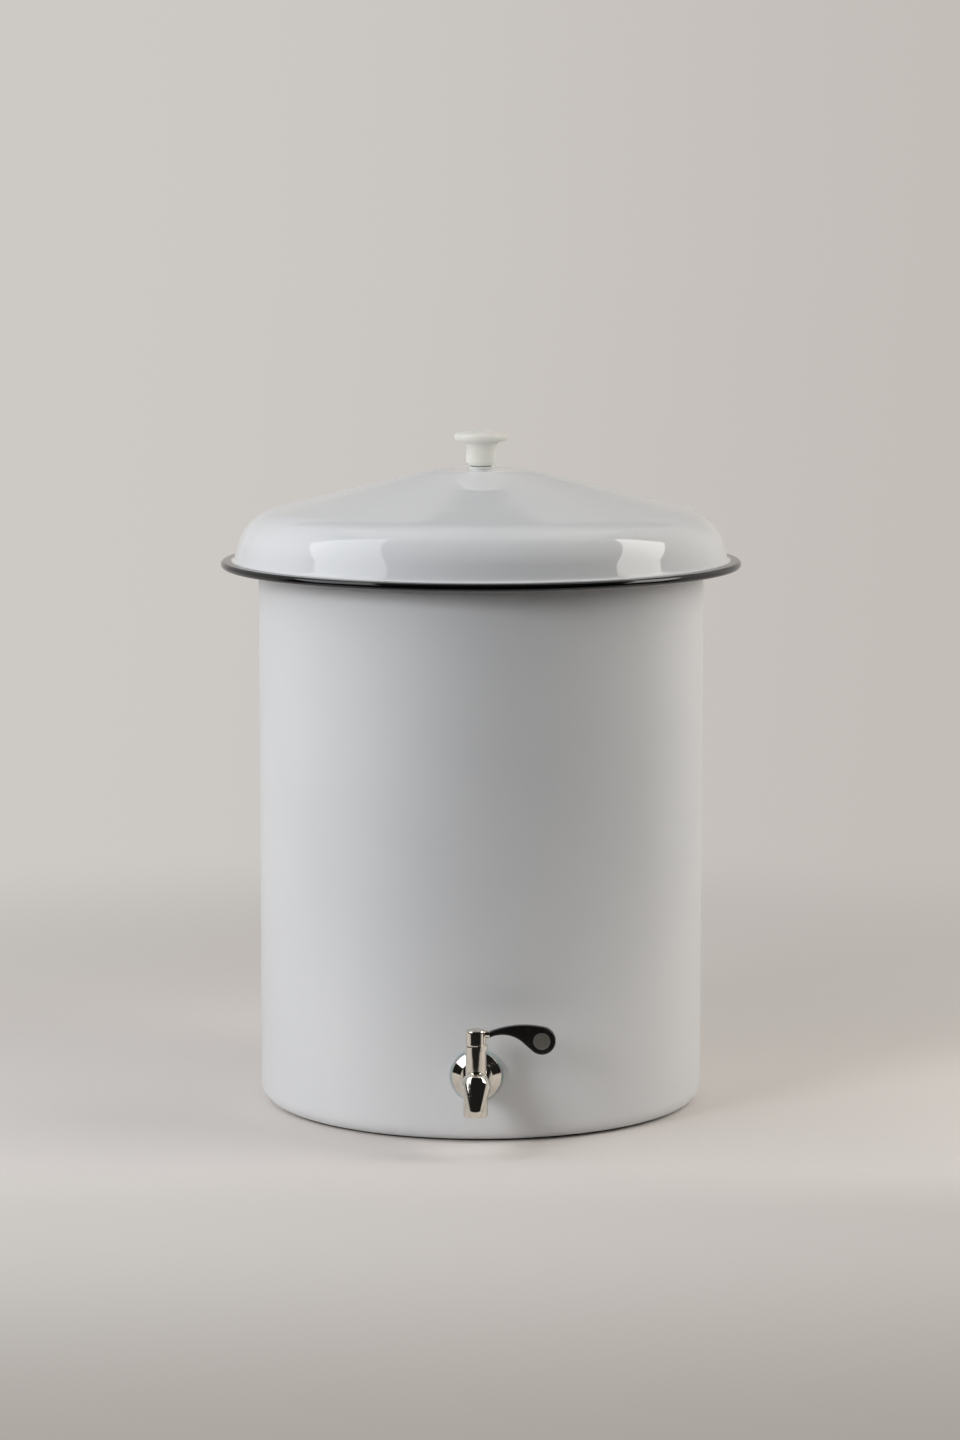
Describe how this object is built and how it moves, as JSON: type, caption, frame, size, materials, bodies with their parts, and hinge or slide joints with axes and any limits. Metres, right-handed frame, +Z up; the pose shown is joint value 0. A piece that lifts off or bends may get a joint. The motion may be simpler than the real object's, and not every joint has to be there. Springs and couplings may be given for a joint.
{
  "type": "gravity water filter with tap",
  "caption": "Enamelled steel gravity water filter: a clay filter pot hangs in a tall round container under a conical lid, with a quarter-turn tap at the foot.",
  "frame": {"origin": "centre of the container's base, on the surface it stands on", "axes": "+Z up along the container's axis, -Y towards the tap at the front, +X to the right seen from the front, the way the closed lever points"},
  "size_m": [0.3696, 0.397, 0.4793],
  "materials": {
    "white_enamel": "glossy white vitreous enamel on steel, black on the rolled rims",
    "white_nylon": "smooth white nylon",
    "cream_plastic": "smooth creamy white moulding",
    "fired_clay": "porous fired clay, matt",
    "polished_steel": "polished stainless steel",
    "plain_steel": "turned and stamped stainless steel",
    "brass": "turned brass",
    "silicone": "pale translucent silicone",
    "black_rubber": "black rubber",
    "ptfe": "white low-friction plastic",
    "black_plastic": "satin black moulding",
    "satin_disc": "plain satin disc"
  },
  "bodies": {
    "container": {"container_shell": "white_enamel", "foot_ring": "black_rubber", "tap_body": "polished_steel", "tap_flange": "polished_steel", "outer_gasket": "silicone", "inner_gasket": "silicone", "inner_washer": "plain_steel", "tap_nut": "plain_steel", "valve_sleeve": "ptfe", "thrust_washer": "ptfe", "gland_nut": "brass"},
    "filter_pot": {"clay_filter": "fired_clay"},
    "lid": {"lid_shell": "white_enamel", "knob_collar": "white_nylon", "lid_knob": "cream_plastic", "knob_insert": "brass", "knob_washer": "plain_steel", "knob_screw": "plain_steel"},
    "tap_handle": {"valve_plug": "plain_steel", "plug_o_rings": "black_rubber", "handle_cap": "polished_steel", "cap_grub_screw": "plain_steel", "lever_stud": "plain_steel", "handle_lever": "black_plastic", "lever_disc": "satin_disc"}
  },
  "joints": [
    {"name": "filter_lift", "type": "slide", "parent": "container", "child": "filter_pot", "axis": [0, 0, 1], "range_m": [0, 0.25]},
    {"name": "lid_lift", "type": "slide", "parent": "filter_pot", "child": "lid", "axis": [0, 0, 1], "range_m": [0, 0.15]},
    {"name": "tap_turn", "type": "hinge", "parent": "container", "child": "tap_handle", "pos_m": [0, -0.1879, 0.0475], "axis": [0, 0, -1], "range_deg": [0, 90]}
  ]
}
